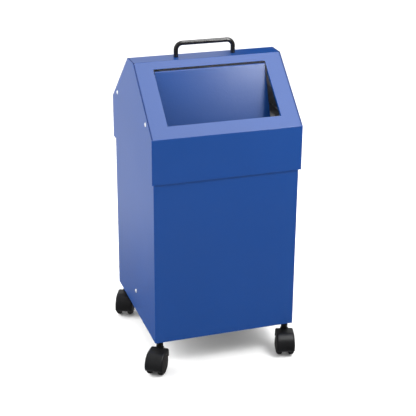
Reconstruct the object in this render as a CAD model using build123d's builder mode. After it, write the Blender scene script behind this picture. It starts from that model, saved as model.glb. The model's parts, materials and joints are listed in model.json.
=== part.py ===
from build123d import *
import math
import os

# A waste collection bin on casters: a square sheet-steel body, a lift-off hood
# with a sloping push flap and a bow handle, and four swivelling twin-wheel
# casters.  Millimetres, +Z up, the front faces -Y, +X is to the right when the
# front is looked at.  The origin is on the floor, at the centre of the body.

# ---------------------------------------------------------------- dimensions
HOOD = 330.0            # hood, outside width and depth
SHEET = 1.0             # sheet thickness of body, hood and flap
RECESS = 4.0            # the body stands back from the hood by this much
BODY = HOOD - 2 * RECESS
Z_BODY = 71.0           # underside of the body above the floor
Z_SKIRT = 443.0         # lower edge of the hood's skirt
Z_FOLD = 540.5          # fold between the skirt and the slopes
Z_RIDGE = 664.5         # flat ridge on top of the hood
RIDGE = 45.0            # depth of the flat ridge
Z_RIM = 533.5           # rim of the body, inside the skirt
BEND = 2.0              # outside radius of a folded edge

OPEN_HALF = 124.5       # half width of the chute opening
OPEN_TOP = 19.5         # distance of the opening from the ridge, down the slope
OPEN_END = 159.0

FLAP_HALF = 122.5       # half width of the flap
FLAP_REST = 22.0        # angle of the resting flap from the vertical, degrees
ROD_R = 2.5             # hinge rod
ROD_DEPTH = 5.0         # hinge axis behind the slope's outer face
ROD_DOWN = 26.2         # hinge axis below the ridge, down the slope

BAR_R = 5.0             # round bar of the handle
BAR_HALF = 64.0         # half of the 128 mm hole spacing
BAR_RISE = 29.5         # centre of the grip above the ridge
BAR_BEND = 14.0

PAN = 1.5               # sheet thickness of the floor pan
PAN_Z = Z_BODY + 1.5    # underside of the floor pan
PAN_H = 57.0            # height of its turned-up edges
RIVET_UP = 51.0         # rivets above the underside of the body

STEM_XY = 147.0         # caster stems from the middle, both ways
TRAIL = 22.0            # axle in front of the stem
WHEEL_R = 25.0
AXLE_R = 3.0
COVER_R = 27.6          # outside radius of the caster's cover
COVER_HALF = 20.5       # half width of the cover
SPINE_HALF = 7.3        # half width of the web between the wheels
COVER_TOP = WHEEL_R + COVER_R
# caster name, stem position, and how far its axle is turned from the X axis
CASTERS = [
    ("front_left", -STEM_XY, -STEM_XY, 34.0),
    ("front_right", STEM_XY, -STEM_XY, 15.0),
    ("back_left", -STEM_XY, STEM_XY, 24.0),
    ("back_right", STEM_XY, STEM_XY, 214.0),
]

HALF = HOOD / 2
BH = BODY / 2
RUN = HALF - RIDGE / 2
DROP = Z_RIDGE - Z_FOLD
SLOPE = math.hypot(RUN, DROP)
S_DOWN = (-RUN / SLOPE, -DROP / SLOPE)      # (y, z) down the front slope
S_OUT = (-DROP / SLOPE, RUN / SLOPE)        # (y, z) out of the front slope

os.makedirs("parts", exist_ok=True)


def save(builder, name):
    builder.part.label = name
    export_step(builder.part, f"parts/{name}.step")


def on_slope(down, depth, x=0.0):
    """A point down the front slope from the ridge, and behind its outer face."""
    return (
        x,
        -RIDGE / 2 + S_DOWN[0] * down - S_OUT[0] * depth,
        Z_RIDGE + S_DOWN[1] * down - S_OUT[1] * depth,
    )


def slope_plane(down=0.0, depth=0.0, x=0.0):
    """Plane on the front slope: local x is +X, local y is up the slope."""
    return Plane(origin=on_slope(down, depth, x), x_dir=(1, 0, 0), z_dir=(0, S_OUT[0], S_OUT[1]))


def hood_profile(inset):
    """The hood's outline seen from the side, offset inwards, lower edge open."""
    t = math.tan(math.atan2(RUN, DROP) / 2)
    k = (SLOPE - RUN) / DROP
    return [
        (-HALF + inset, Z_SKIRT),
        (-HALF + inset, Z_FOLD - inset * t),
        (-RIDGE / 2 + inset * k, Z_RIDGE - inset),
        (RIDGE / 2 - inset * k, Z_RIDGE - inset),
        (HALF - inset, Z_FOLD - inset * t),
        (HALF - inset, Z_SKIRT),
    ]


# ================================================================ the body
# Front and both sides are folded from one sheet.  The rim is turned inwards.
with BuildPart() as body_shell:
    with BuildSketch(Plane.XY.offset(Z_BODY)) as wall:
        Rectangle(BODY, BODY)
        fillet(wall.vertices().group_by(Axis.Y)[0], BEND)
        with BuildSketch(mode=Mode.SUBTRACT) as hollow:
            with Locations((0, SHEET)):
                Rectangle(BODY - 2 * SHEET, BODY)
            fillet(hollow.vertices().group_by(Axis.Y)[0], BEND - SHEET)
    extrude(amount=Z_RIM - Z_BODY)
    with BuildSketch(Plane.XY.offset(Z_RIM - SHEET)):
        Rectangle(BODY - 1.2, BODY - 1.2)
        with Locations((0, 16)):
            Rectangle(BODY - 32, BODY, mode=Mode.SUBTRACT)
        with Locations((0, BH)):
            Rectangle(BODY + 10, 33, mode=Mode.SUBTRACT)
    extrude(amount=SHEET)
    # rivet holes low on both sides
    with BuildSketch(Plane.YZ.offset(-BH - 5)):
        with Locations((0, Z_BODY + RIVET_UP)):
            Circle(2.45)
    extrude(amount=BODY + 10, mode=Mode.SUBTRACT)
save(body_shell, "body_shell")

# The back panel closes the wrap, with its long edges folded forwards.
with BuildPart() as body_back_panel:
    with BuildSketch(Plane.XY.offset(Z_BODY)):
        with Locations((0, BH - SHEET / 2)):
            Rectangle(BODY - 2 * SHEET, SHEET)
    extrude(amount=Z_RIM - Z_BODY)
    with BuildSketch(Plane.XY.offset(PAN_Z + PAN_H + 3)):
        with Locations((-BH + 1.5 * SHEET, BH - 8), (BH - 1.5 * SHEET, BH - 8)):
            Rectangle(SHEET, 15.5)
    extrude(amount=Z_RIM - SHEET - 0.4 - (PAN_Z + PAN_H + 3))
    with BuildSketch(Plane.XY.offset(Z_RIM - SHEET)):
        with Locations((0, BH - 8)):
            Rectangle(BODY - 2 * SHEET - 0.8, 15.6)
    extrude(amount=SHEET)
    with BuildSketch(Plane.XZ.offset(-BH - 5)):
        with Locations((0, Z_BODY + RIVET_UP)):
            Circle(2.45)
    extrude(amount=20, mode=Mode.SUBTRACT)
save(body_back_panel, "body_back_panel")

# The floor is a shallow tray with turned-up edges, riveted to the walls.
with BuildPart() as floor_pan:
    with BuildSketch(Plane.XY.offset(PAN_Z)) as pan_outline:
        Rectangle(BODY - 2 * SHEET, BODY - 2 * SHEET)
        fillet(pan_outline.vertices(), 2.5)
    extrude(amount=PAN_H)
    with BuildSketch(Plane.XY.offset(PAN_Z + PAN)) as pan_inside:
        Rectangle(BODY - 2 * SHEET - 2 * PAN, BODY - 2 * SHEET - 2 * PAN)
        fillet(pan_inside.vertices(), 1.2)
    extrude(amount=PAN_H, mode=Mode.SUBTRACT)
    fillet(floor_pan.faces().sort_by(Axis.Z)[0].outer_wire().edges(), 1.4)
    with BuildSketch(Plane.XY.offset(PAN_Z - 1)):
        with GridLocations(2 * STEM_XY, 2 * STEM_XY, 2, 2):
            Circle(5.2)
    extrude(amount=PAN + 2, mode=Mode.SUBTRACT)
    with BuildSketch(Plane.YZ.offset(-BH - 5)):
        with Locations((0, Z_BODY + RIVET_UP)):
            Circle(2.45)
    extrude(amount=BODY + 10, mode=Mode.SUBTRACT)
    with BuildSketch(Plane.XZ.offset(-BH - 5)):
        with Locations((0, Z_BODY + RIVET_UP)):
            Circle(2.45)
    extrude(amount=20, mode=Mode.SUBTRACT)
save(floor_pan, "floor_pan")


def dome_mid(edge, apex):
    """Middle of the arc from edge=(r, y) to the apex (0, y) of a dome on the axis."""
    r, rise = edge[0], abs(apex - edge[1])
    big = (r * r + rise * rise) / (2 * rise)
    half = math.atan2(r, big - rise) / 2
    sign = 1 if apex > edge[1] else -1
    return (big * math.sin(half), apex - sign * big * (1 - math.cos(half)))


# Blind rivets: one in the middle of each side and one in the back.
with BuildPart() as body_rivets:
    for origin, inwards in (
        ((-BH, 0, Z_BODY + RIVET_UP), (1, 0, 0)),
        ((BH, 0, Z_BODY + RIVET_UP), (-1, 0, 0)),
        ((0, BH, Z_BODY + RIVET_UP), (0, -1, 0)),
    ):
        seat = Plane(origin=origin, x_dir=(0, 0, 1), z_dir=Vector(0, 0, 1).cross(Vector(*inwards)))
        with BuildSketch(seat):
            with BuildLine():
                grip = SHEET + PAN
                Polyline((0, -2.1), (0, grip + 2.4))
                ThreePointArc((0, grip + 2.4), dome_mid((3.4, grip), grip + 2.4), (3.4, grip))
                Polyline((3.4, grip), (2.4, grip), (2.4, 0), (4.9, 0))
                ThreePointArc((4.9, 0), dome_mid((4.9, 0), -2.1), (0, -2.1))
            make_face()
        revolve(axis=Axis(origin, inwards))
save(body_rivets, "body_rivets")

# ================================================================ casters
STUD_TOP = PAN_Z + PAN + 13.0

with BuildPart() as caster_washers:
    with BuildSketch(Plane.XY.offset(PAN_Z + PAN)):
        with GridLocations(2 * STEM_XY, 2 * STEM_XY, 2, 2):
            Circle(9.5)
            Circle(5.2, mode=Mode.SUBTRACT)
    extrude(amount=1.6)
save(caster_washers, "caster_washers")

with BuildPart() as caster_nuts:
    with BuildSketch(Plane.XY.offset(PAN_Z + PAN + 1.6)):
        with GridLocations(2 * STEM_XY, 2 * STEM_XY, 2, 2):
            RegularPolygon(8.5, 6, major_radius=False)
            Circle(5.03, mode=Mode.SUBTRACT)
    extrude(amount=8.0)
    chamfer(caster_nuts.edges().group_by(Axis.Z)[-1].filter_by(GeomType.LINE), 0.6)
save(caster_nuts, "caster_nuts")

def shoulder(start, radius, away):
    """Point on a wheel's rounded shoulder, this far along the axle from its flat tread."""
    big, sign = abs(radius), math.copysign(1, radius)
    return (start + sign * away, WHEEL_R - big + math.sqrt(big * big - away * away))


def round_axle(radius, angle):
    """Point at this distance and angle from the axle, in a caster's side view."""
    t = math.radians(angle)
    return (-TRAIL - radius * math.cos(t), WHEEL_R + radius * math.sin(t))


for tag, stem_x, stem_y, turn in CASTERS:
    a = math.radians(turn)
    lx = Vector(math.cos(a), -math.sin(a), 0)       # along the axle
    ly = Vector(math.sin(a), math.cos(a), 0)        # from the axle to the stem
    foot = Vector(stem_x, stem_y, 0)                # under the stem, on the floor
    hub = foot - ly * TRAIL + Vector(0, 0, WHEEL_R)

    # Stem: a pin turning in the cover's socket, a black collar and a stud.
    with BuildPart() as stem:
        with BuildSketch(Plane(origin=foot, x_dir=lx, z_dir=-ly)):
            with BuildLine():
                Polyline(
                    (0, 33.0), (4.2, 33.0), (5.0, 33.8), (5.0, COVER_TOP + 1.2),
                    (7.0, COVER_TOP + 1.2), (7.5, COVER_TOP + 1.7), (7.5, PAN_Z), (5.0, PAN_Z),
                    (5.0, STUD_TOP - 0.8), (4.2, STUD_TOP), (0, STUD_TOP), close=True,
                )
            make_face()
        revolve(axis=Axis(foot, (0, 0, 1)))
    save(stem, f"caster_stem_{tag}")

    # Cover: one moulding with a web between the wheels, the axle boss and the
    # stem socket.  It wraps the top and the leading side of both wheels.
    side = Plane(origin=foot - lx * COVER_HALF, x_dir=ly, z_dir=lx)
    middle = Plane(origin=foot - lx * SPINE_HALF, x_dir=ly, z_dir=lx)
    with BuildPart() as cover:
        with BuildSketch(side) as outline:
            with BuildLine():
                ThreePointArc(round_axle(COVER_R, -15), round_axle(COVER_R, 35), round_axle(COVER_R, 90))
                Polyline(
                    round_axle(COVER_R, 90), (5.5, COVER_TOP), (5.5, 38.0), (-6, 30), (-40, 21),
                    round_axle(COVER_R, -15),
                )
            make_face()
            fillet(outline.vertices().group_by(Axis.Y)[-1].sort_by(Axis.X)[-1], 8.0)
        extrude(amount=2 * COVER_HALF)
        rims = (
            cover.faces().filter_by(lambda f: abs(abs(f.normal_at().dot(lx)) - 1) < 1e-3).edges()
            .filter_by(lambda e: e.center().Z > 39)
        )
        fillet(rims, 4.5)
        # wheel wells on both sides, closing in a little at their mouths
        for out in (-lx, lx):
            with BuildSketch(Plane(origin=hub, x_dir=out, z_dir=out.cross(Vector(0, 0, 1)))):
                with BuildLine():
                    Polyline((COVER_HALF + 6, 0), (0, 0), (0, WHEEL_R + 0.8), (16.0, WHEEL_R + 0.8))
                    ThreePointArc((16.0, WHEEL_R + 0.8), (17.909, 25.009), (18.7, 23.1))
                    Polyline((18.7, 23.1), (18.7, 22.6), (COVER_HALF + 6, 22.6), (COVER_HALF + 6, 0))
                make_face()
            revolve(axis=Axis(hub, out), mode=Mode.SUBTRACT)
        # the web
        with BuildSketch(middle) as web:
            with BuildLine():
                ThreePointArc(round_axle(COVER_R - 0.8, -15), round_axle(COVER_R - 0.8, 35), round_axle(COVER_R - 0.8, 90))
                Polyline(
                    round_axle(COVER_R - 0.8, 90), (2, COVER_TOP - 0.8), (8, 46), (8, 30), (-13, 14.5), (-33, 14.5),
                    round_axle(COVER_R - 0.8, -15),
                )
            make_face()
        extrude(amount=2 * SPINE_HALF)
        # raised ring round the stem, stem socket and axle hole
        with BuildSketch(Plane(origin=foot + Vector(0, 0, 47.5), x_dir=lx, z_dir=(0, 0, 1))):
            Circle(9.0)
        extrude(amount=COVER_TOP + 0.9 - 47.5)
        with BuildSketch(Plane(origin=foot + Vector(0, 0, 32.6), x_dir=lx, z_dir=(0, 0, 1))):
            Circle(5.07)
        extrude(amount=40, mode=Mode.SUBTRACT)
        with BuildSketch(middle):
            with Locations((-TRAIL, WHEEL_R)):
                Circle(AXLE_R + 0.02)
        extrude(amount=2 * SPINE_HALF, mode=Mode.SUBTRACT)
    save(cover, f"caster_cover_{tag}")

    with BuildPart() as axle:
        with BuildSketch(Plane(origin=hub - lx * 20, x_dir=ly, z_dir=lx)):
            Circle(AXLE_R)
        extrude(amount=40)
        chamfer(axle.edges().filter_by(GeomType.CIRCLE), 0.5)
    save(axle, f"caster_axle_{tag}")

    # Wheels: crowned tread, webbed inside, closed by a smooth domed disc.
    for hand, out in (("left", -lx), ("right", lx)):
        with BuildPart() as wheel:
            with BuildSketch(Plane(origin=hub, x_dir=out, z_dir=out.cross(Vector(0, 0, 1)))):
                with BuildLine():
                    Polyline(
                        (20.3, 0), (20.3, AXLE_R + 0.06), (7.7, AXLE_R + 0.06), (7.7, 8.0),
                        (10.5, 8.0), (10.5, 18.5), (8.0, 19.0), shoulder(12.0, -5.0, 4.0),
                    )
                    ThreePointArc(shoulder(12.0, -5.0, 4.0), shoulder(12.0, -5.0, 2.2), (12.0, WHEEL_R))
                    Line((12.0, WHEEL_R), (14.2, WHEEL_R))
                    ThreePointArc((14.2, WHEEL_R), shoulder(14.2, 4.8, 2.4), shoulder(14.2, 4.8, 4.2))
                    Polyline(shoulder(14.2, 4.8, 4.2), (18.6, 22.1), (19.2, 21.8))
                    mid = dome_mid((21.8, 19.2), 23.0)
                    ThreePointArc((19.2, 21.8), (mid[1], mid[0]), (23.0, 0))
                    Line((23.0, 0), (20.3, 0))
                make_face()
            revolve(axis=Axis(hub, out))
        save(wheel, f"caster_wheel_{tag}_{hand}")

# ================================================================ the hood
# Skirts, slopes and ridge are folded from one sheet that runs front to back.
with BuildPart() as hood_shell:
    with BuildSketch(Plane.YZ.offset(-HALF)) as strip:
        outer = hood_profile(0)
        inner = hood_profile(SHEET)
        with BuildLine():
            Polyline(outer + inner[::-1], close=True)
        make_face()
        bends = strip.vertices().filter_by(lambda v: v.Y > Z_SKIRT + 1)
        outside = bends.filter_by(lambda v: min(math.dist((v.X, v.Y), p) for p in outer) < 1e-3)
        inside = bends.filter_by(lambda v: min(math.dist((v.X, v.Y), p) for p in inner) < 1e-3)
        fillet(outside, BEND)
        fillet(inside, BEND - SHEET)
    extrude(amount=HOOD)
    # chute opening in the front slope
    with BuildSketch(slope_plane((OPEN_TOP + OPEN_END) / 2, 10)) as mouth:
        Rectangle(2 * OPEN_HALF, OPEN_END - OPEN_TOP)
        fillet(mouth.vertices(), 0.8)
    extrude(amount=20, mode=Mode.SUBTRACT)
    # its long side edges are turned in, below the hinge rod
    with BuildSketch(slope_plane((44 + OPEN_END) / 2, SHEET / 2)):
        with Locations((-OPEN_HALF - 0.5, 0), (OPEN_HALF + 0.5, 0)):
            Rectangle(SHEET, OPEN_END - 44)
    extrude(amount=-6.0)
    # holes for the handle screws
    with BuildSketch(Plane.XY.offset(Z_RIDGE - 5)):
        with Locations((-BAR_HALF, 0), (BAR_HALF, 0)):
            Circle(2.8)
    extrude(amount=10, mode=Mode.SUBTRACT)
save(hood_shell, "hood_shell")

# Side panels: shallow trays with their edges folded in and welded under the
# strip, so that a fine groove runs along the joint.
for tag, sx in (("left", -1), ("right", 1)):
    with BuildPart() as hood_side:
        with BuildSketch(Plane.YZ.offset(sx * HALF)) as gable:
            with BuildLine():
                Polyline(hood_profile(SHEET), close=True)
            make_face()
            fillet(gable.vertices().filter_by(lambda v: v.Y > Z_SKIRT + 1), BEND - SHEET)
        extrude(amount=-sx * 12.0)
        face = hood_side.faces().sort_by(Axis.X)[0 if sx < 0 else -1]
        fillet(face.edges().filter_by(lambda e: e.center().Z > Z_SKIRT + 1), 1.3)
        with BuildSketch(Plane.YZ.offset(sx * (HALF - SHEET))):
            with BuildLine():
                lining = hood_profile(2 * SHEET)
                lining = [(lining[0][0], Z_SKIRT - 1)] + lining[1:5] + [(lining[5][0], Z_SKIRT - 1)]
                Polyline(lining, close=True)
            make_face()
        extrude(amount=-sx * 12.0, mode=Mode.SUBTRACT)
        with BuildSketch(Plane.YZ.offset(sx * (HALF + 1))):
            with Locations((-118.5, Z_FOLD + 20), (118.5, Z_FOLD + 20)):
                Circle(2.45)
        extrude(amount=-sx * 5, mode=Mode.SUBTRACT)
    save(hood_side, f"hood_side_{tag}")

    # The angle by which the hood rests on the rim of the body.
    with BuildPart() as rest_angle:
        with BuildSketch(Plane.XZ.offset(-150)):
            with BuildLine():
                x0, t = sx * (HALF - SHEET), sx * 1.5
                Polyline(
                    (x0, Z_RIM), (x0, Z_RIM + 40), (x0 - t, Z_RIM + 40), (x0 - t, Z_RIM + 1.5),
                    (x0 - sx * 22, Z_RIM + 1.5), (x0 - sx * 22, Z_RIM), close=True,
                )
            make_face()
        extrude(amount=300)
        corner = rest_angle.edges().filter_by(Axis.Y).sort_by(Axis.Z)
        fillet(corner.filter_by(lambda e: e.center().Z < Z_RIM + 0.1 and abs(e.center().X) > 160), 2.2)
        with BuildSketch(Plane.YZ.offset(sx * (HALF + 1))):
            with BuildLine():
                Polyline(hood_profile(4.0), close=True)
            make_face()
        extrude(amount=-sx * 40, mode=Mode.INTERSECT)
        with BuildSketch(Plane.YZ.offset(sx * (HALF + 1))):
            with Locations((-118.5, Z_FOLD + 20), (118.5, Z_FOLD + 20)):
                Circle(2.45)
        extrude(amount=-sx * 5, mode=Mode.SUBTRACT)
    save(rest_angle, f"rest_angle_{tag}")

with BuildPart() as hood_rivets:
    for sx in (-1, 1):
        for y in (-118.5, 118.5):
            origin, inwards = (sx * HALF, y, Z_FOLD + 20), (-sx, 0, 0)
            seat = Plane(origin=origin, x_dir=(0, 0, 1), z_dir=Vector(0, 0, 1).cross(Vector(*inwards)))
            with BuildSketch(seat):
                with BuildLine():
                    Polyline((0, -2.1), (0, 4.9))
                    ThreePointArc((0, 4.9), dome_mid((3.4, 2.5), 4.9), (3.4, 2.5))
                    Polyline((3.4, 2.5), (2.4, 2.5), (2.4, 0), (4.9, 0))
                    ThreePointArc((4.9, 0), dome_mid((4.9, 0), -2.1), (0, -2.1))
                make_face()
            revolve(axis=Axis(origin, inwards))
save(hood_rivets, "hood_rivets")

# Bow handle of round bar, tapped from below.
with BuildPart() as handle:
    with BuildLine() as bow:
        FilletPolyline(
            (-BAR_HALF, 0, Z_RIDGE), (-BAR_HALF, 0, Z_RIDGE + BAR_RISE),
            (BAR_HALF, 0, Z_RIDGE + BAR_RISE), (BAR_HALF, 0, Z_RIDGE), radius=BAR_BEND,
        )
    with BuildSketch(Plane.XY.offset(Z_RIDGE)):
        with Locations((-BAR_HALF, 0)):
            Circle(BAR_R)
    sweep(path=bow.line)
    chamfer(handle.edges().filter_by(GeomType.CIRCLE).group_by(Axis.Z)[0], 0.4)
    with BuildSketch(Plane.XY.offset(Z_RIDGE - 1)):
        with Locations((-BAR_HALF, 0), (BAR_HALF, 0)):
            Circle(2.6)
    extrude(amount=14, mode=Mode.SUBTRACT)
save(handle, "handle")

with BuildPart() as handle_washers:
    with BuildSketch(Plane.XY.offset(Z_RIDGE - SHEET)):
        with Locations((-BAR_HALF, 0), (BAR_HALF, 0)):
            Circle(7.5)
            Circle(2.8, mode=Mode.SUBTRACT)
    extrude(amount=-1.2)
save(handle_washers, "handle_washers")

with BuildPart() as handle_screws:
    for x in (-BAR_HALF, BAR_HALF):
        with BuildSketch(Plane(origin=(x, 0, Z_RIDGE - SHEET - 1.2), x_dir=(1, 0, 0), z_dir=(0, -1, 0))):
            with BuildLine():
                Polyline((0, -3.6), (2.6, -3.5))
                ThreePointArc((2.6, -3.5), (4.1, -2.6), (4.75, 0))
                Polyline((4.75, 0), (2.5, 0), (2.5, 13.0), (0, 13.0), (0, -3.6))
            make_face()
        revolve(axis=Axis((x, 0, 0), (0, 0, 1)))
    with BuildSketch(Plane.XY.offset(Z_RIDGE - SHEET - 4.9)):
        with Locations((-BAR_HALF, 0), (BAR_HALF, 0)):
            Rectangle(5.0, 1.1)
            Rectangle(1.1, 5.0)
    extrude(amount=1.8, mode=Mode.SUBTRACT)
save(handle_screws, "handle_screws")

# ---------------------------------------------------------------- the flap
hinge = on_slope(ROD_DOWN, ROD_DEPTH)
REST = math.radians(FLAP_REST)
f_up = Vector(0, math.sin(REST), math.cos(REST))        # up the flap
f_out = Vector(0, -math.cos(REST), math.sin(REST))      # out of its front face
FLAP_LEN = OPEN_END - 2.0 - ROD_DOWN

# Panel rolled around the hinge rod at the top, edges folded in at both sides,
# and a joggled lip at the bottom that shuts behind the opening's lower edge.
with BuildPart() as flap:
    with BuildSketch(Plane(origin=Vector(-FLAP_HALF, hinge[1], hinge[2]), x_dir=f_up, z_dir=(1, 0, 0))) as leaf:
        # local x is up the flap; local y is backwards or forwards, see below
        s = -1.0 if Plane(origin=(0, 0, 0), x_dir=f_up, z_dir=(1, 0, 0)).y_dir.dot(f_out) < 0 else 1.0
        Circle(3.7)
        with BuildLine():
            Polyline(
                (0, s * 3.7), (-FLAP_LEN, s * 3.7), (-FLAP_LEN - 1.2, s * 0), (-FLAP_LEN - 11, s * 0),
                (-FLAP_LEN - 11, s * -1), (-FLAP_LEN - 0.4, s * -1), (-FLAP_LEN + 0.9, s * 2.7), (0, s * 2.7),
                close=True,
            )
        make_face()
        Circle(ROD_R + 0.07, mode=Mode.SUBTRACT)
        with Locations(Location((-2.2, s * -2.6, 0), (0, 0, 1), s * 40)):
            Rectangle(4.0, 0.8, mode=Mode.SUBTRACT)
    extrude(amount=2 * FLAP_HALF)
    with BuildSketch(Plane(origin=Vector(-FLAP_HALF, hinge[1], hinge[2]), x_dir=f_up, z_dir=(1, 0, 0))):
        with BuildLine():
            Polyline(
                (-8, s * 3.7), (-FLAP_LEN + 4, s * 3.7), (-FLAP_LEN + 4, s * -2.5), (-11, s * -2.5),
                close=True,
            )
        make_face()
    extrude(amount=SHEET)
    with BuildSketch(Plane(origin=Vector(FLAP_HALF - SHEET, hinge[1], hinge[2]), x_dir=f_up, z_dir=(1, 0, 0))):
        with BuildLine():
            Polyline(
                (-8, s * 3.7), (-FLAP_LEN + 4, s * 3.7), (-FLAP_LEN + 4, s * -2.5), (-11, s * -2.5),
                close=True,
            )
        make_face()
    extrude(amount=SHEET)
    # small holes in the folded edges take the springs' hooks
    with BuildSketch(Plane(origin=Vector(-FLAP_HALF - 1, hinge[1], hinge[2]) - f_up * 15.4, x_dir=(0, 1, 0), z_dir=(1, 0, 0))):
        Circle(0.9)
    extrude(amount=2 * FLAP_HALF + 2, mode=Mode.SUBTRACT)
save(flap, "flap")

with BuildPart() as hinge_rod:
    with BuildSketch(Plane(origin=(-144.0, hinge[1], hinge[2]), x_dir=(0, 1, 0), z_dir=(1, 0, 0))):
        Circle(ROD_R)
    extrude(amount=288)
    chamfer(hinge_rod.edges().filter_by(GeomType.CIRCLE), 0.5)
save(hinge_rod, "hinge_rod")

for tag, sx in (("left", -1), ("right", 1)):
    # Bracket: a foot welded under the slope and an ear that holds the rod.
    with BuildPart() as hinge_bracket:
        with BuildSketch(slope_plane(ROD_DOWN, SHEET, sx * 145.0)):
            Rectangle(12.0, 22.0)
            with Locations((sx * 1.6, 0)):
                Rectangle(12.0, 9.2, mode=Mode.SUBTRACT)
        extrude(amount=-1.5)
        with BuildSketch(Plane(origin=on_slope(ROD_DOWN, SHEET, sx * 139.75), x_dir=(0, S_DOWN[0], S_DOWN[1]), z_dir=(1, 0, 0))) as ear:
            e = 1.0 if ear.workplanes[0].y_dir.dot(Vector(0, S_OUT[0], S_OUT[1])) > 0 else -1.0
            with BuildLine():
                Polyline((-11, 0), (11, 0), (11, -e * 3), (4.5, -e * 10), (-4.5, -e * 10), (-11, -e * 3), close=True)
            make_face()
            with Locations((0, -e * (ROD_DEPTH - SHEET))):
                Circle(ROD_R + 0.03, mode=Mode.SUBTRACT)
        extrude(amount=0.75, both=True)
    save(hinge_bracket, f"hinge_bracket_{tag}")

    # Return spring, wound on the rod between the flap and the bracket.
    with BuildPart() as flap_spring:
        with BuildSketch(Plane(origin=(sx * (FLAP_HALF + 1.5), hinge[1], hinge[2]), x_dir=(0, 1, 0), z_dir=(sx, 0, 0))):
            Circle(3.75)
            Circle(2.72, mode=Mode.SUBTRACT)
        extrude(amount=13.6)
        top = Vector(sx * (FLAP_HALF + 2.1), hinge[1], hinge[2])
        with BuildLine() as leg:
            FilletPolyline(
                top - f_up * 2.95, top - f_up * 15.4, top - f_up * 15.4 - Vector(sx * 5.6, 0, 0), radius=1.2,
            )
        with BuildSketch(Plane(origin=top - f_up * 2.95, x_dir=(1, 0, 0), z_dir=-f_up)):
            Circle(0.5)
        sweep(path=leg.line)
    save(flap_spring, f"flap_spring_{tag}")

# Push-on clips at both ends of the rod.
with BuildPart() as rod_clips:
    for sx in (-1, 1):
        with BuildSketch(Plane(origin=(sx * 140.8, hinge[1], hinge[2]), x_dir=(0, 1, 0), z_dir=(sx, 0, 0))):
            Circle(3.7)
            Circle(ROD_R, mode=Mode.SUBTRACT)
        extrude(amount=1.0)
save(rod_clips, "rod_clips")

# Rubber buffers behind the opening's lower edge, where the lip comes to rest.
with BuildPart() as flap_buffers:
    for x in (-95.0, 95.0):
        with BuildSketch(slope_plane(OPEN_END + 5.2, SHEET, x)):
            Circle(4.6)
        extrude(amount=-3.75, taper=6)
save(flap_buffers, "flap_buffers")
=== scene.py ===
import bpy
import json
import math
from mathutils import Matrix, Vector


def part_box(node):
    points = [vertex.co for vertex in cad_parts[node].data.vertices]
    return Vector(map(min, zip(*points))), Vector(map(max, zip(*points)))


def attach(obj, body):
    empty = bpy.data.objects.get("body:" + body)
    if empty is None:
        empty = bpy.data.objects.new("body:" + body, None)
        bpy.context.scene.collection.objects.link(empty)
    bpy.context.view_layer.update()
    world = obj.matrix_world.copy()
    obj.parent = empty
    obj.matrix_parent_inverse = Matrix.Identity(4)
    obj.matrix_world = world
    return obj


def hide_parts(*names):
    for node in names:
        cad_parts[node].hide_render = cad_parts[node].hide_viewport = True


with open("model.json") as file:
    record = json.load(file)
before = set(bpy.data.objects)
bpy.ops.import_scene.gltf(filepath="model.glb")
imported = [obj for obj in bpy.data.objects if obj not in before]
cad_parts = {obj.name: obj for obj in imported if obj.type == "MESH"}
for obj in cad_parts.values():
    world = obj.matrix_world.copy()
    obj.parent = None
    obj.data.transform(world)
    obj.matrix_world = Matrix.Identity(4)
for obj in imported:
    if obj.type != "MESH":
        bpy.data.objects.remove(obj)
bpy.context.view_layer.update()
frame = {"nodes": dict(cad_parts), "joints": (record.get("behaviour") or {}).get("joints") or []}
NODES = frame["nodes"]
scene = bpy.context.scene
scene.view_settings.view_transform = "Standard"
scene.view_settings.look = "None"

# ------------------------------------------------------------------ camera
YAW, PITCH, ROLL = 0.319738, 0.397140, 0.0081325
fwd = Vector((math.sin(YAW) * math.cos(PITCH), math.cos(YAW) * math.cos(PITCH), -math.sin(PITCH)))
right = Vector((math.cos(YAW), -math.sin(YAW), 0.0))
up = right.cross(fwd)
right, up = right * math.cos(ROLL) + up * math.sin(ROLL), up * math.cos(ROLL) - right * math.sin(ROLL)
cam_data = bpy.data.cameras.new("camera")
cam_data.sensor_width = 36.0
cam_data.lens = 1133.528 / 416 * 36.0
cam_data.clip_end = 200.0
cam = bpy.data.objects.new("camera", cam_data)
scene.collection.objects.link(cam)
cam.matrix_world = Matrix((
    (right.x, up.x, -fwd.x, -0.735290),
    (right.y, up.y, -fwd.y, -2.253494),
    (right.z, up.z, -fwd.z, 1.302063),
    (0, 0, 0, 1),
))
scene.camera = cam


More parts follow.
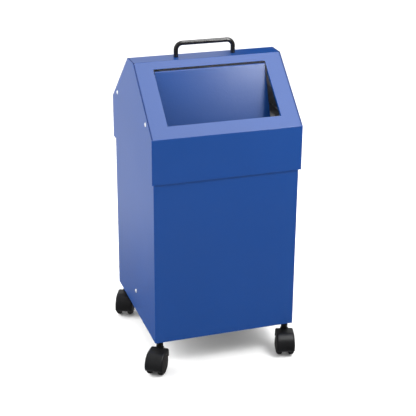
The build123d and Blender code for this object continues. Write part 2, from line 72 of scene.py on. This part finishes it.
# --------------------------------------------------------------- materials
class Graph:
    """A small helper that adds nodes to one material and wires them."""

    def __init__(self, name):
        self.mat = bpy.data.materials.new(name)
        self.mat.use_nodes = True
        self.tree = self.mat.node_tree
        self.tree.nodes.clear()
        self.out = self.add("ShaderNodeOutputMaterial")
        self.bsdf = self.add("ShaderNodeBsdfPrincipled")
        self.link(self.bsdf.outputs[0], self.out.inputs[0])
        self.coord = self.add("ShaderNodeTexCoord").outputs["Object"]

    def add(self, kind, **settings):
        node = self.tree.nodes.new(kind)
        for key, value in settings.items():
            setattr(node, key, value)
        return node

    def link(self, a, b):
        self.tree.links.new(a, b)

    def put(self, socket, value):
        if isinstance(value, bpy.types.NodeSocket):
            self.link(value, socket)
        else:
            socket.default_value = value

    def noise(self, scale, detail=2.0, rough=0.5, stretch=None, distortion=0.0, offset=(0, 0, 0)):
        node = self.add("ShaderNodeTexNoise")
        node.inputs["Scale"].default_value = scale
        node.inputs["Detail"].default_value = detail
        node.inputs["Roughness"].default_value = rough
        node.inputs["Distortion"].default_value = distortion
        place = self.add("ShaderNodeMapping")
        place.inputs["Scale"].default_value = stretch or (1, 1, 1)
        place.inputs["Location"].default_value = offset
        self.link(self.coord, place.inputs["Vector"])
        self.link(place.outputs[0], node.inputs["Vector"])
        return node.outputs["Fac"]

    def cells(self, scale, feature="F1", stretch=None):
        node = self.add("ShaderNodeTexVoronoi", feature=feature)
        node.inputs["Scale"].default_value = scale
        place = self.add("ShaderNodeMapping")
        place.inputs["Scale"].default_value = stretch or (1, 1, 1)
        self.link(self.coord, place.inputs["Vector"])
        self.link(place.outputs[0], node.inputs["Vector"])
        return node.outputs["Distance"]

    def span(self, value, a, b, c=0.0, d=1.0, smooth=False):
        node = self.add("ShaderNodeMapRange")
        node.clamp = True
        if smooth:
            node.interpolation_type = "SMOOTHSTEP"
        self.put(node.inputs["Value"], value)
        for i, v in zip(("From Min", "From Max", "To Min", "To Max"), (a, b, c, d)):
            node.inputs[i].default_value = v
        return node.outputs["Result"]

    def math(self, op, a, b=0.0):
        node = self.add("ShaderNodeMath", operation=op)
        self.put(node.inputs[0], a)
        self.put(node.inputs[1], b)
        return node.outputs[0]

    def axis(self, name):
        node = self.add("ShaderNodeSeparateXYZ")
        self.link(self.coord, node.inputs[0])
        return node.outputs[name]

    def mix(self, fac, a, b):
        node = self.add("ShaderNodeMix", data_type="RGBA")
        self.put(node.inputs[0], fac)
        for i, v in ((6, a), (7, b)):
            if isinstance(v, bpy.types.NodeSocket):
                self.link(v, node.inputs[i])
            else:
                node.inputs[i].default_value = (*v, 1.0)
        return node.outputs[2]

    def bump(self, height, distance, strength=1.0, below=None):
        node = self.add("ShaderNodeBump")
        node.inputs["Strength"].default_value = strength
        node.inputs["Distance"].default_value = distance
        self.link(height, node.inputs["Height"])
        if below is not None:
            self.link(below, node.inputs["Normal"])
        return node.outputs[0]

    def finish(self, color, rough, normal=None, metallic=0.0, specular=0.5, coat=0.0, coat_rough=0.1):
        self.put(self.bsdf.inputs["Base Color"], color)
        self.put(self.bsdf.inputs["Roughness"], rough)
        self.bsdf.inputs["Metallic"].default_value = metallic
        self.bsdf.inputs["Specular IOR Level"].default_value = specular
        self.bsdf.inputs["Coat Weight"].default_value = coat
        self.bsdf.inputs["Coat Roughness"].default_value = coat_rough
        if normal is not None:
            self.link(normal, self.bsdf.inputs["Normal"])
        return self.mat


def shade(c, k):
    return tuple(min(1.0, v * k) for v in c)


BLUE = (0.0012, 0.0375, 0.1800)


def powder_coat():
    g = Graph("blue_powder_coat")
    drift = g.span(g.noise(5.0, 3.0), 0.3, 0.7)
    speck = g.span(g.noise(900.0, 2.0, 0.6), 0.35, 0.65)
    body = g.mix(drift, shade(BLUE, 0.965), shade(BLUE, 1.03))
    body = g.mix(g.math("MULTIPLY", speck, 0.35), body, shade(BLUE, 1.10))
    # painted shade: the slope's edge is darkened along the shallow joint beside the side panel, where shade falls into
    # the gap
    joint_shade = g.span(g.math("ABSOLUTE", g.axis("X")), 0.16165, 0.16215, 0.0, 1.0, smooth=True)
    joint_shade = g.math("MULTIPLY", joint_shade, g.span(g.math("ABSOLUTE", g.axis("X")), 0.16430, 0.16445, 1.0, 0.0))
    joint_shade = g.math("MULTIPLY", joint_shade, g.span(g.axis("Z"), 0.5405, 0.5425, 0.0, 1.0))
    # painted shade in the joint: the base colour is darkened towards a deep blue here
    body = g.mix(g.math("MULTIPLY", joint_shade, 0.90), body, (0.0006, 0.0150, 0.0850))
    rough = g.span(g.noise(6.0, 1.0), 0.25, 0.75, 0.28, 0.30)
    rough = g.math("ADD", rough, g.math("MULTIPLY", joint_shade, 0.60))
    # orange peel a few millimetres across, with the fine grain of the powder
    peel = g.bump(g.noise(210.0, 2.0, 0.5), 0.00014, 0.8)
    return g.finish(body, rough, peel, specular=0.50)


def inner_coat():
    """Grey primer on the faces that look into the bin."""
    g = Graph("grey_primer")
    base = (0.78, 0.76, 0.74)
    drift = g.span(g.noise(9.0, 4.0), 0.3, 0.7)
    color = g.mix(drift, shade(base, 0.86), shade(base, 1.10))
    drop = g.span(g.noise(60.0, 5.0, 0.7), 0.62, 0.72)
    color = g.mix(g.math("MULTIPLY", drop, 0.35), color, (0.30, 0.29, 0.28))
    rough = g.span(g.noise(40.0, 3.0), 0.3, 0.7, 0.52, 0.64)
    return g.finish(color, rough, g.bump(g.noise(420.0, 3.0), 0.00005, 0.6), specular=0.35)


def zinc():
    g = Graph("zinc_sheet")
    cell = g.cells(55.0)
    spangle = g.span(cell, 0.0, 0.75)
    color = g.mix(spangle, (0.44, 0.45, 0.46), (0.60, 0.61, 0.62))
    stain = g.span(g.noise(16.0, 5.0), 0.5, 0.75)
    color = g.mix(g.math("MULTIPLY", stain, 0.4), color, (0.33, 0.33, 0.33))
    rough = g.span(g.noise(70.0, 4.0), 0.3, 0.7, 0.38, 0.52)
    return g.finish(color, rough, g.bump(g.noise(260.0, 3.0), 0.00004, 0.5), metallic=1.0)


def bright_steel():
    g = Graph("drawn_steel")
    streak = g.noise(900.0, 3.0, 0.6, stretch=(0.03, 1, 1))
    color = g.mix(g.span(streak, 0.3, 0.7), (0.52, 0.52, 0.53), (0.68, 0.68, 0.69))
    rough = g.span(g.noise(120.0, 3.0), 0.3, 0.7, 0.24, 0.38)
    return g.finish(color, rough, g.bump(streak, 0.00002, 0.5), metallic=1.0)


def rivet_metal():
    g = Graph("rivet_aluminium")
    ring = g.noise(700.0, 2.0)
    color = g.mix(g.span(ring, 0.3, 0.7), (0.84, 0.85, 0.86), (0.93, 0.93, 0.94))
    rough = g.span(g.noise(500.0, 3.0), 0.3, 0.7, 0.26, 0.40)
    return g.finish(color, rough, g.bump(ring, 0.00003, 0.4), metallic=0.75, specular=0.6)


def lacquer():
    g = Graph("black_lacquer")
    drift = g.span(g.noise(35.0, 4.0), 0.3, 0.7)
    color = g.mix(drift, (0.0030, 0.0026, 0.0026), (0.0055, 0.0048, 0.0046))
    grip = g.span(g.noise(150.0, 5.0, 0.65), 0.62, 0.74)
    color = g.mix(g.math("MULTIPLY", grip, 0.25), color, (0.020, 0.019, 0.018))
    rough = g.span(g.noise(60.0, 4.0), 0.3, 0.7, 0.20, 0.28)
    return g.finish(color, rough, g.bump(g.noise(700.0, 2.0), 0.00003, 0.5), specular=1.0)


def nylon():
    """Moulded caster cover: smooth hood, grained low down."""
    g = Graph("black_nylon")
    drift = g.span(g.noise(28.0, 4.0), 0.3, 0.7)
    color = g.mix(drift, (0.0045, 0.0046, 0.0052), (0.0080, 0.0081, 0.0088))
    low = g.span(g.axis("Z"), 0.0195, 0.0215, 1.0, 0.0, smooth=True)
    grain = g.span(g.cells(620.0), 0.15, 0.55)
    color = g.mix(g.math("MULTIPLY", low, g.math("MULTIPLY", grain, 0.8)), color, (0.030, 0.030, 0.032))
    dust = g.span(g.noise(95.0, 6.0, 0.7), 0.56, 0.75)
    color = g.mix(g.math("MULTIPLY", dust, 0.15), color, (0.028, 0.027, 0.026))
    rough = g.span(g.noise(50.0, 3.0), 0.3, 0.7, 0.30, 0.42)
    rough = g.math("ADD", rough, g.math("MULTIPLY", low, 0.20))
    fine = g.bump(g.noise(1300.0, 2.0), 0.00002, 0.6)
    g_low = g.math("MULTIPLY", low, grain)
    return g.finish(color, rough, g.bump(g_low, 0.00018, 0.8, below=fine), specular=0.32)


def wheel_nylon():
    """Wheel and its hub disc: a little warmer and duller than the cover."""
    g = Graph("wheel_nylon")
    drift = g.span(g.noise(40.0, 4.0), 0.3, 0.7)
    color = g.mix(drift, (0.0125, 0.0105, 0.0105), (0.0185, 0.0160, 0.0158))
    scuff = g.span(g.noise(300.0, 5.0, 0.7, stretch=(1, 1, 1)), 0.58, 0.72)
    color = g.mix(g.math("MULTIPLY", scuff, 0.18), color, (0.045, 0.042, 0.040))
    rough = g.span(g.noise(80.0, 4.0), 0.3, 0.7, 0.42, 0.58)
    return g.finish(color, rough, g.bump(g.noise(900.0, 3.0), 0.00003, 0.7), specular=0.4)


def tread_nylon_painted_shade():
    """The running surface of a wheel, matt from the mould and from the floor; its dark base colour is painted shade,
    with lighter flecks of dirt.
    """
    g = Graph("tread_nylon_painted_shade")
    drift = g.span(g.noise(70.0, 5.0), 0.3, 0.7)
    # painted shade: the base colour is kept darker than the wheel disc; the lighter flecks mixed in below are dirt
    color = g.mix(drift, (0.0042, 0.0040, 0.0040), (0.0090, 0.0086, 0.0084))
    dirt = g.span(g.noise(420.0, 5.0, 0.7), 0.56, 0.72)
    color = g.mix(g.math("MULTIPLY", dirt, 0.25), color, (0.034, 0.032, 0.030))
    rough = g.span(g.noise(120.0, 4.0), 0.3, 0.7, 0.50, 0.66)
    return g.finish(color, rough, g.bump(g.noise(1100.0, 3.0), 0.00005, 0.8), specular=0.35)


def rubber():
    g = Graph("buffer_rubber")
    drift = g.span(g.noise(60.0, 4.0), 0.3, 0.7)
    color = g.mix(drift, (0.014, 0.014, 0.014), (0.024, 0.023, 0.022))
    return g.finish(color, g.span(g.noise(90.0, 3.0), 0.3, 0.7, 0.62, 0.78),
                    g.bump(g.noise(800.0, 3.0), 0.00004, 0.7), specular=0.3)


def oiled_steel():
    """The hinge rod: dark, oiled steel."""
    g = Graph("oiled_steel")
    streak = g.noise(700.0, 3.0, 0.6, stretch=(0.04, 1, 1))
    color = g.mix(g.span(streak, 0.3, 0.7), (0.020, 0.020, 0.022), (0.045, 0.045, 0.048))
    rough = g.span(g.noise(110.0, 3.0), 0.3, 0.7, 0.30, 0.46)
    return g.finish(color, rough, g.bump(streak, 0.00002, 0.5), metallic=0.6, specular=0.4)


COAT, INNER, ZINC, STEEL = powder_coat(), inner_coat(), zinc(), bright_steel()
OILED = oiled_steel()
RIVET, LACQUER, NYLON, WHEEL, RUBBER = rivet_metal(), lacquer(), nylon(), wheel_nylon(), rubber()
TREAD_SHADE = tread_nylon_painted_shade()

FINISH = {}
for n in ("body_shell", "body_back_panel", "hood_shell", "hood_side_left", "hood_side_right", "flap"):
    FINISH[n] = COAT
for n in ("floor_pan", "rest_angle_left", "rest_angle_right", "hinge_bracket_left", "hinge_bracket_right",
          "caster_washers", "caster_nuts", "handle_washers"):
    FINISH[n] = ZINC
for n in ("hinge_rod", "rod_clips", "flap_spring_left", "flap_spring_right", "handle_screws"):
    FINISH[n] = STEEL
for n in ("body_rivets", "hood_rivets"):
    FINISH[n] = RIVET
FINISH["hinge_rod"] = OILED
FINISH["handle"] = LACQUER
FINISH["flap_buffers"] = RUBBER
for n in NODES:
    if n.startswith("caster_cover"):
        FINISH[n] = NYLON
    elif n.startswith("caster_wheel"):
        FINISH[n] = WHEEL
    elif n.startswith("caster_stem"):
        FINISH[n] = LACQUER
    elif n.startswith("caster_axle"):
        FINISH[n] = STEEL

for name, node in NODES.items():
    node.data.materials.clear()
    node.data.materials.append(FINISH.get(name, ZINC))

# ---- painted shade: a wheel's tread and its inner web, which lie in shade under the cover, are made blacker than the disc
for joint in frame["joints"]:
    if joint["name"].startswith("roll_"):
        hub, axle = Vector(joint["pos_m"]), Vector(joint["axis"]).normalized()
        mesh = NODES["caster_wheel_" + joint["name"][5:]].data
        mesh.materials.append(TREAD_SHADE)
        for poly in mesh.polygons:
            off = poly.center - hub
            along = abs(off.dot(axle))
            radial = (off - axle * off.dot(axle)).length
            if along < 0.0186 or radial > 0.0221:
                poly.material_index = 1

# ---- the inside faces of the coated sheets are primer grey
HALF, RIDGE, Z_FOLD, Z_RIDGE = 0.165, 0.045, 0.5405, 0.6645
slope_run, slope_drop = HALF - RIDGE / 2, Z_RIDGE - Z_FOLD
slope_len = math.hypot(slope_run, slope_drop)


def hood_depth(p):
    """How far a point is inside the hood's outline."""
    back = HALF - abs(p.y)
    side = HALF - abs(p.x)
    top = Z_RIDGE - p.z
    slope = ((RIDGE / 2 - abs(p.y)) * slope_drop + (Z_RIDGE - p.z) * slope_run) / slope_len
    return min(back, side, top, slope)


def body_depth(p):
    return min(0.161 - abs(p.x), 0.161 - abs(p.y))


def line_inside(name, depth):
    mesh = NODES[name].data
    mesh.materials.append(INNER)
    for poly in mesh.polygons:
        c = poly.center
        # the folds beside the chute opening are coated like the outside
        fold = 0.1236 < abs(c.x) < 0.1258 and c.z > 0.52 and c.y < -0.02
        if depth(c) > 0.00085 and not fold:
            poly.material_index = 1


for n in ("hood_shell", "hood_side_left", "hood_side_right"):
    line_inside(n, hood_depth)
for n in ("body_shell", "body_back_panel"):
    line_inside(n, body_depth)


# -------------------------------------------------------------- new pieces
def tube(name, points, radius, sides=10):
    """A closed round wire along points."""
    verts, faces = [], []
    pts = [Vector(p) for p in points]
    tangent = (pts[1] - pts[0]).normalized()
    ref = tangent.orthogonal().normalized()
    for i, p in enumerate(pts):
        if i == 0:
            t = (pts[1] - pts[0]).normalized()
        elif i == len(pts) - 1:
            t = (pts[-1] - pts[-2]).normalized()
        else:
            t = (pts[i + 1] - pts[i - 1]).normalized()
        ref = (ref - t * ref.dot(t)).normalized()
        side = t.cross(ref)
        for k in range(sides):
            a = 2 * math.pi * k / sides
            verts.append(p + (ref * math.cos(a) + side * math.sin(a)) * radius)
    for i in range(len(pts) - 1):
        for k in range(sides):
            a, b = i * sides + k, i * sides + (k + 1) % sides
            faces.append((a, b, b + sides, a + sides))
    faces.append(tuple(reversed(range(sides))))
    last = (len(pts) - 1) * sides
    faces.append(tuple(range(last, last + sides)))
    mesh = bpy.data.meshes.new(name)
    mesh.from_pydata([tuple(v) for v in verts], [], faces)
    mesh.update()
    for poly in mesh.polygons:
        poly.use_smooth = len(poly.vertices) == 4
    obj = bpy.data.objects.new(name, mesh)
    scene.collection.objects.link(obj)
    return obj


ROD_Y, ROD_Z = -0.0389825, 0.6435294
down = Vector((0, -math.sin(math.radians(22)), -math.cos(math.radians(22))))
for tag, sx in (("left", -1), ("right", 1)):
    lo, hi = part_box(f"flap_spring_{tag}")
    x_in, x_out = 0.1240, 0.1376
    wire, mean = 0.00048, 0.00318
    turns, steps = 12.0, 16
    path = []
    start = Vector((sx * (x_in + 0.0006), ROD_Y, ROD_Z))
    side = Vector((0, down.z, -down.y))
    # the hooked leg, tangent to the first turn, then the close-wound coil
    hook = start + down * 0.0154
    path.append(hook - Vector((sx * 0.0056, 0, 0)))
    path.append(hook - Vector((sx * 0.0012, 0, 0)))
    path.append(hook - Vector((sx * 0.0003, 0, 0)) - down * 0.0003)
    path.append(hook - down * 0.0012)
    path.append(start + down * 0.0062)
    path.append(start + down * 0.0042)
    for i in range(int(turns * steps) + 1):
        a = 2 * math.pi * i / steps
        x = sx * (x_in + 0.0006 + (x_out - x_in - 0.0012) * i / (turns * steps))
        path.append(Vector((x, ROD_Y, ROD_Z)) + (down * math.cos(a) + side * math.sin(a)) * mean)
    spring = tube(f"return_spring_{tag}", path, wire)
    spring.data.materials.append(STEEL)
    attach(spring, "hood")
    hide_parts(f"flap_spring_{tag}")

# ------------------------------------------------------------ floor, light
floor_mesh = bpy.data.meshes.new("floor")
floor_mesh.from_pydata([(-30, -30, 0), (30, -30, 0), (30, 30, 0), (-30, 30, 0)], [], [(0, 1, 2, 3)])
floor = bpy.data.objects.new("floor", floor_mesh)
scene.collection.objects.link(floor)
fg = Graph("studio_floor")
paper = fg.span(fg.noise(3.0, 3.0), 0.3, 0.7)
floor_mesh.materials.append(fg.finish(
    fg.mix(paper, (0.94, 0.94, 0.94), (0.96, 0.96, 0.96)), 0.9, fg.bump(fg.noise(150.0, 3.0), 0.0001, 0.2),
    specular=0.1))

world = bpy.data.worlds.new("studio")
scene.world = world
world.use_nodes = True
wt = world.node_tree
wt.nodes.clear()
w_out = wt.nodes.new("ShaderNodeOutputWorld")
w_bg = wt.nodes.new("ShaderNodeBackground")
w_co = wt.nodes.new("ShaderNodeTexCoord")
w_sep = wt.nodes.new("ShaderNodeSeparateXYZ")
w_map = wt.nodes.new("ShaderNodeMapRange")
w_map.inputs["From Min"].default_value = -0.9
w_map.inputs["From Max"].default_value = 0.5
w_map.inputs["To Min"].default_value = 0.75
w_map.inputs["To Max"].default_value = 1.60
wt.links.new(w_co.outputs["Generated"], w_sep.inputs[0])
wt.links.new(w_sep.outputs["Y"], w_map.inputs["Value"])
wt.links.new(w_map.outputs[0], w_bg.inputs["Strength"])
w_bg.inputs["Color"].default_value = (1.0, 1.0, 1.0, 1.0)
wt.links.new(w_bg.outputs[0], w_out.inputs[0])


def soft_box(name, azimuth, elevation, distance, width, height, radiance, aim=(0, 0, 0.45)):
    """A flat soft box; azimuth 0 is in front of the bin and 90 at its right."""
    a, e = math.radians(azimuth), math.radians(elevation)
    d = Vector((math.sin(a) * math.cos(e), -math.cos(a) * math.cos(e), math.sin(e)))
    data = bpy.data.lights.new(name, "AREA")
    data.shape = "RECTANGLE"
    data.size, data.size_y = width, height
    data.energy = radiance * math.pi * width * height
    obj = bpy.data.objects.new(name, data)
    scene.collection.objects.link(obj)
    obj.location = Vector(aim) + d * distance
    obj.rotation_euler = d.to_track_quat("Z", "Y").to_euler()
    return obj


def only(obj, **flags):
    """Which rays see a light or a stage piece."""
    for flag in ("camera", "diffuse", "glossy", "transmission", "shadow"):
        if flag in flags:
            setattr(obj, "visible_" + flag, flags[flag])
    return obj


# broad top box for the slope, key at the upper right, a small near box for the flap
only(soft_box("top", 64, 69, 2.0, 1.5, 1.3, 4.3), diffuse=False)
only(soft_box("top_fill", 60, 66, 2.0, 1.5, 1.3, 0.6), glossy=False)
only(soft_box("key", 38, 42, 2.0, 0.9, 0.9, 8.0), glossy=False)
only(soft_box("fill_left", -98, 26, 2.2, 1.6, 1.4, 7.0), glossy=False)
near = soft_box("near", 0, 0, 1.0, 0.24, 0.24, 18.0)
near.location = (0.415, -0.655, 1.072)
near.rotation_euler = (near.location - Vector((0.094, -0.042, 0.637))).to_track_quat("Z", "Y").to_euler()
only(near, camera=False)

# light that bounces about inside the hood
bounce = bpy.data.objects.new("bounce", bpy.data.lights.new("bounce", "POINT"))
bounce.data.energy = 0.030
bounce.data.shadow_soft_size = 0.03
bounce.location = (0.085, -0.045, 0.520)
only(bounce, camera=False, glossy=False)
scene.collection.objects.link(bounce)

# The gloss sees a greyer floor than the eye does: the paint reflects this
# sheet, which is lit from the far side and falls off towards the bin.
floor.visible_glossy = False
mirror_mesh = bpy.data.meshes.new("floor_in_gloss")
mirror_mesh.from_pydata([(-12, -12, -0.002), (12, -12, -0.002), (12, 12, -0.002), (-12, 12, -0.002)], [], [(0, 1, 2, 3)])
mirror = bpy.data.objects.new("floor_in_gloss", mirror_mesh)
scene.collection.objects.link(mirror)
mg = Graph("floor_in_gloss")
sep = mg.add("ShaderNodeSeparateXYZ")
mg.link(mg.coord, sep.inputs[0])
away = mg.add("ShaderNodeVectorMath", operation="LENGTH")
mg.link(mg.coord, away.inputs[0])
grow = mg.span(away.outputs["Value"], 0.25, 0.95, 0.30, 0.78, smooth=True)
ahead = mg.span(sep.outputs["Y"], -0.30, 0.30, 0.15, 1.0)
glow = mg.add("ShaderNodeEmission")
mg.link(mg.math("MULTIPLY", grow, ahead), glow.inputs["Strength"])
mg.link(glow.outputs[0], mg.out.inputs[0])
mirror_mesh.materials.append(mg.mat)
only(mirror, camera=False, diffuse=False, transmission=False, shadow=False)

# the studio walls as the gloss sees them
world.cycles_visibility.glossy = False
wall_mesh = bpy.data.meshes.new("walls_in_gloss")
rings, segs, verts, faces = 12, 32, [], []
for i in range(rings + 1):
    e = -0.05 + (math.pi / 2 + 0.05) * i / rings
    for k in range(segs):
        t = 2 * math.pi * k / segs
        verts.append((11.5 * math.cos(e) * math.cos(t), 11.5 * math.cos(e) * math.sin(t), 11.5 * math.sin(e)))
for i in range(rings):
    for k in range(segs):
        p, q = i * segs + k, i * segs + (k + 1) % segs
        faces.append((p, p + segs, q + segs, q))
wall_mesh.from_pydata(verts, [], faces)
wall = bpy.data.objects.new("walls_in_gloss", wall_mesh)
scene.collection.objects.link(wall)
lg = Graph("walls_in_gloss")
lsep = lg.add("ShaderNodeSeparateXYZ")
lg.link(lg.coord, lsep.inputs[0])
lglow = lg.add("ShaderNodeEmission")
lg.link(lg.span(lsep.outputs["Y"], -9.0, 5.0, 0.20, 0.78), lglow.inputs["Strength"])
lg.link(lglow.outputs[0], lg.out.inputs[0])
wall_mesh.materials.append(lg.mat)
only(wall, camera=False, diffuse=False, transmission=False, shadow=False)

# a black flag behind on the right, seen only in the gloss of the ridge
flag_mesh = bpy.data.meshes.new("flag")
flag_mesh.from_pydata([(0.215, 0.46, 0.70), (1.1, 0.46, 0.70), (1.1, 0.46, 1.30), (0.215, 0.46, 1.30)], [], [(0, 1, 2, 3)])
flag_obj = bpy.data.objects.new("flag", flag_mesh)
scene.collection.objects.link(flag_obj)
kg = Graph("flag_cloth")
flag_mesh.materials.append(kg.finish((0.01, 0.01, 0.01, 1.0), 1.0, kg.bump(kg.noise(300.0), 0.0002, 0.5), specular=0.0))
only(flag_obj, camera=False, diffuse=False, transmission=False, shadow=False)
